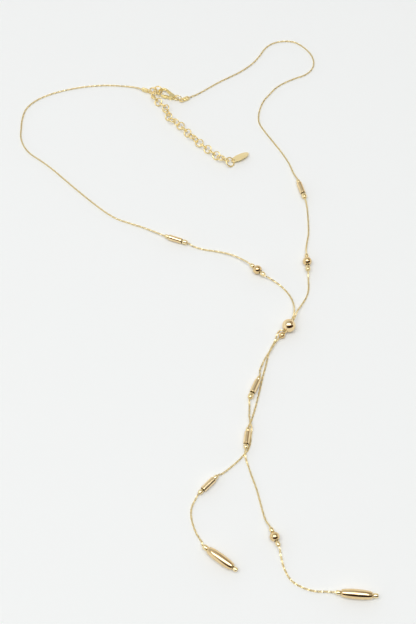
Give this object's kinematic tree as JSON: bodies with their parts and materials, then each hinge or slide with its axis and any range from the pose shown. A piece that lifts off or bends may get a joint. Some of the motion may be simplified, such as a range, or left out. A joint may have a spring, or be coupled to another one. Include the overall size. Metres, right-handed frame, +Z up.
{
  "type": "tassel necklace",
  "caption": "Long fine-chain lariat necklace in gold colour, with a sliding ball, tube, round and oval beads, two tails, a lobster clasp and an extender with an oval tag",
  "frame": {"origin": "on the surface that the necklace lies on, at the middle of its outline seen from above", "axes": "+Z up; +Y from the tails to the clasp end; +X to the right for a viewer who stands at the tails"},
  "size_m": [0.1611, 0.304, 0.006],
  "materials": {
    "gold": "polished gold plating",
    "pale_gold": "polished pale gold plating"
  },
  "bodies": {
    "root": {"chain_left": "pale_gold", "chain_right": "pale_gold", "end_cap_left": "pale_gold", "end_cap_right": "pale_gold", "jump_ring_left": "pale_gold", "catch_ring": "pale_gold", "jump_ring_right": "pale_gold", "clasp_body": "pale_gold", "extender_chain": "pale_gold", "end_ring": "pale_gold", "oval_tag": "gold", "tube_bead_1": "gold", "tube_bead_2": "gold", "tube_bead_3": "gold", "tube_bead_4": "gold", "tube_bead_5": "gold", "round_bead_1": "gold", "round_bead_2": "gold", "round_bead_3": "gold", "long_bead_1": "gold", "long_bead_2": "gold", "slider_ball": "gold", "stopper_bead": "gold", "crimp_bead_1": "gold", "crimp_bead_2": "gold", "crimp_bead_3": "gold", "crimp_bead_4": "gold", "crimp_bead_5": "gold", "crimp_bead_6": "gold", "crimp_bead_7": "gold", "crimp_bead_8": "gold", "crimp_bead_9": "gold", "crimp_bead_10": "gold", "crimp_bead_11": "gold", "crimp_bead_12": "gold", "crimp_bead_13": "gold", "crimp_bead_14": "gold", "crimp_bead_15": "gold", "crimp_bead_16": "gold", "crimp_bead_17": "gold", "crimp_bead_18": "gold", "crimp_bead_19": "gold", "crimp_bead_20": "gold"},
    "clasp_lever": {"clasp_lever": "pale_gold"}
  },
  "joints": [
    {"name": "clasp_lever_hinge", "type": "hinge", "parent": "root", "child": "clasp_lever", "pos_m": [-0.00472, 0.11023, 0.00121], "axis": [-0.0698, 0.0319, -0.9971], "range_deg": [0, 25], "stiffness_Nm_per_rad": 0.002}
  ]
}
